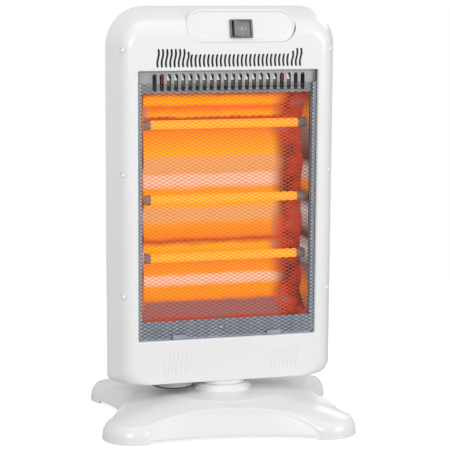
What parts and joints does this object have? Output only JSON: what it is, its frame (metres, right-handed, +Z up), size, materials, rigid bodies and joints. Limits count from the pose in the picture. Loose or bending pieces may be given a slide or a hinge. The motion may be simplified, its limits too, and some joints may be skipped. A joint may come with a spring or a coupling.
{
  "type": "halogen heater",
  "caption": "Tall white halogen heater: glowing quartz tubes behind a mesh guard, in a head that swivels on a low spreading base, with a rocker switch at the top.",
  "frame": {"origin": "on the floor, under the middle of the base", "axes": "+Z up, -Y the way the head faces as drawn, +X to the right of someone looking at its front"},
  "size_m": [0.3548, 0.3222, 0.5415],
  "materials": {
    "white_gloss": "gloss",
    "white_base": "gloss",
    "pale_inner": "matte",
    "dark_switch": "satin",
    "grey_rocker": "gloss",
    "pale_rubber": "matte",
    "dark_rubber": "matte",
    "steel": "satin",
    "guard_steel": "satin",
    "bright_sheet": "polished",
    "blue_sheet": "satin",
    "quartz": "glossy",
    "glowing_wire": "matte",
    "ceramic": "matte",
    "red_wire": "matte",
    "drive_plastic": "matte"
  },
  "bodies": {
    "base": {"base_shell": "white_base", "base_cover": "pale_inner", "foot_pads": "pale_rubber", "base_screws": "steel", "base_collar": "white_gloss", "pivot_tube": "steel", "flange_screws": "steel", "thrust_washer": "steel", "pivot_nut": "steel", "anchor_arm": "steel", "tip_switch": "dark_switch", "cable_gland": "dark_rubber", "inner_cable": "dark_rubber"},
    "plunger": {"tip_plunger": "dark_switch"},
    "head": {"front_frame": "white_gloss", "rear_shell": "white_gloss", "grip_cup": "white_gloss", "control_panel": "white_gloss", "switch_housing": "dark_switch", "screw_plugs": "white_gloss", "case_screws": "steel", "guard_mesh": "guard_steel", "guard_clips": "guard_steel", "louvre_strip": "blue_sheet", "apron_strip": "blue_sheet", "apron_screw": "steel", "reflector": "bright_sheet", "side_plate_left": "bright_sheet", "side_plate_right": "bright_sheet", "tube_1": "quartz", "tube_2": "quartz", "tube_3": "quartz", "filament_1": "glowing_wire", "filament_2": "glowing_wire", "filament_3": "glowing_wire", "tube_caps": "ceramic", "tube_clips": "steel", "heat_shield": "bright_sheet", "shield_spacers": "steel", "thermal_cutout": "steel", "red_leads": "red_wire", "terminal_block": "pale_inner", "neck_bush": "white_gloss", "neck_plate": "steel", "neck_screws": "steel", "drive_motor": "steel", "motor_cover": "white_gloss"},
    "crank": {"crank_disc": "drive_plastic"},
    "link": {"drive_link": "steel"},
    "rocker": {"switch_rocker": "grey_rocker"}
  },
  "joints": [
    {"name": "head_swing", "type": "hinge", "parent": "base", "child": "head", "pos_m": [-0.00313, -0.02117, 0.0595], "axis": [0, 0, 1], "range_deg": [-43.4, 26.6]},
    {"name": "switch_rock", "type": "hinge", "parent": "head", "child": "rocker", "pos_m": [0.01287, -0.04503, 0.51255], "axis": [0, 0.2419, 0.9703], "range_deg": [-24, 0]},
    {"name": "plunger_drop", "type": "slide", "parent": "base", "child": "plunger", "axis": [0, 0, 1], "range_m": [-0.003, 0]},
    {"name": "crank_turn", "type": "hinge", "parent": "head", "child": "crank", "pos_m": [-0.07014, -0.02417, 0.079], "axis": [0, 0, 1], "range_deg": [-68.41, 111.61]},
    {"name": "link_turn", "type": "hinge", "parent": "crank", "child": "link", "pos_m": [-0.07336, -0.03637, 0.082], "axis": [0, 0, 1], "range_deg": [-111.61, 68.41]}
  ],
  "couplings": [
    {"joint": "crank_turn", "follows": "head_swing", "ratio": -2.5714},
    {"joint": "link_turn", "follows": "head_swing", "ratio": 2.5714}
  ]
}
